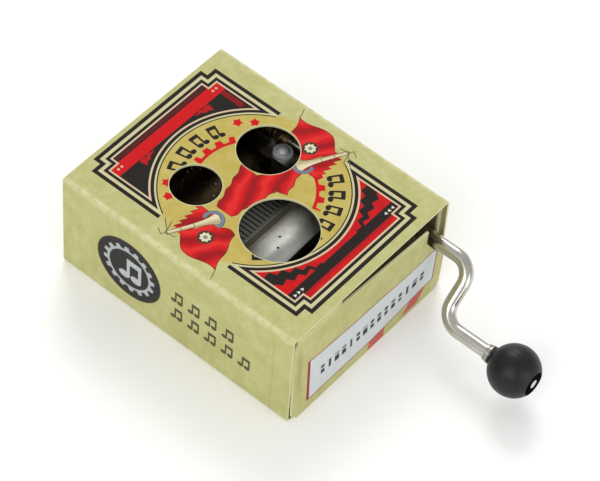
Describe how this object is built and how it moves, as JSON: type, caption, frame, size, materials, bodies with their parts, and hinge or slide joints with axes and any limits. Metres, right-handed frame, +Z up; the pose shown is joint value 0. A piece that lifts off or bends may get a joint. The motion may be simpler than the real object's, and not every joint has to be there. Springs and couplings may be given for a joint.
{
  "type": "hand crank music box",
  "caption": "Small folded card box with round windows over a comb and pinned cylinder, turned by a bent wire crank with a ball knob.",
  "frame": {"origin": "middle of the card box's underside", "axes": "+X along the box towards the crank, +Y across the box towards the side that the crank shaft lies near, +Z up"},
  "size_m": [0.0943, 0.048, 0.026],
  "materials": {
    "printed_card": "printed, satin varnish",
    "bare_card": "bare grey card",
    "cast_zinc": "as cast, dull grey zinc",
    "comb_steel": "ground steel",
    "lead": "dull lead",
    "screw_steel": "bright steel",
    "pin_steel": "ground steel",
    "nickel_plate": "nickel plated",
    "cylinder_brass": "dark tarnished brass",
    "gear_brass": "turned brass",
    "crank_wire": "bright nickel plate",
    "black_plastic": "satin black, moulded"
  },
  "bodies": {
    "box": {"top_panel": "printed_card", "near_side_panel": "printed_card", "far_side_panel": "printed_card", "bottom_panel": "printed_card", "near_front_dust_flap": "printed_card", "far_front_dust_flap": "printed_card", "near_rear_dust_flap": "printed_card", "far_rear_dust_flap": "printed_card", "glue_flap": "bare_card", "bedplate": "cast_zinc", "comb": "comb_steel", "comb_weights": "lead", "comb_screws": "screw_steel", "far_bearing": "nickel_plate", "bearing_screws": "screw_steel", "crank_bracket": "nickel_plate", "bracket_screw": "nickel_plate", "mounting_screws": "screw_steel"},
    "front_flap": {"front_end_flap": "printed_card"},
    "front_tab": {"front_tuck_tab": "printed_card"},
    "rear_flap": {"rear_end_flap": "printed_card"},
    "rear_tab": {"rear_tuck_tab": "printed_card"},
    "cylinder": {"cylinder_tube": "cylinder_brass", "cylinder_pins": "pin_steel", "cylinder_ends": "cylinder_brass", "cylinder_arbor": "screw_steel", "worm_wheel": "gear_brass"},
    "crank": {"crank_rod": "crank_wire", "worm": "gear_brass", "thrust_collars": "gear_brass", "knob_collars": "crank_wire", "knob_washer": "crank_wire"},
    "knob": {"knob": "black_plastic"}
  },
  "joints": [
    {"name": "crank_spin", "type": "hinge", "parent": "box", "child": "crank", "pos_m": [0.0403, 0.0202, 0.0173], "axis": [1, 0, 0], "continuous": true},
    {"name": "cylinder_spin", "type": "hinge", "parent": "box", "child": "cylinder", "pos_m": [-0.0145, 0, 0.0096], "axis": [0, 1, 0], "continuous": true},
    {"name": "knob_spin", "type": "hinge", "parent": "crank", "child": "knob", "pos_m": [0.0588, 0.01086, 0.00877], "axis": [1, 0, 0], "continuous": true},
    {"name": "front_flap_fold", "type": "hinge", "parent": "box", "child": "front_flap", "pos_m": [0.0305, 0, 0.00025], "axis": [0, 1, 0], "range_deg": [0, 14]},
    {"name": "front_tab_fold", "type": "hinge", "parent": "front_flap", "child": "front_tab", "pos_m": [0.02975, 0, 0.02475], "axis": [0, 1, 0], "range_deg": [-5, 0]},
    {"name": "rear_flap_fold", "type": "hinge", "parent": "box", "child": "rear_flap", "pos_m": [-0.0305, 0, 0.00025], "axis": [0, -1, 0], "range_deg": [0, 90]},
    {"name": "rear_tab_fold", "type": "hinge", "parent": "rear_flap", "child": "rear_tab", "pos_m": [-0.02975, 0, 0.02475], "axis": [0, -1, 0], "range_deg": [-27.5, 0]}
  ],
  "couplings": [
    {"joint": "cylinder_spin", "follows": "crank_spin", "ratio": -0.05},
    {"joint": "front_tab_fold", "follows": "front_flap_fold", "ratio": -0.3},
    {"joint": "rear_tab_fold", "follows": "rear_flap_fold", "ratio": -0.3}
  ]
}
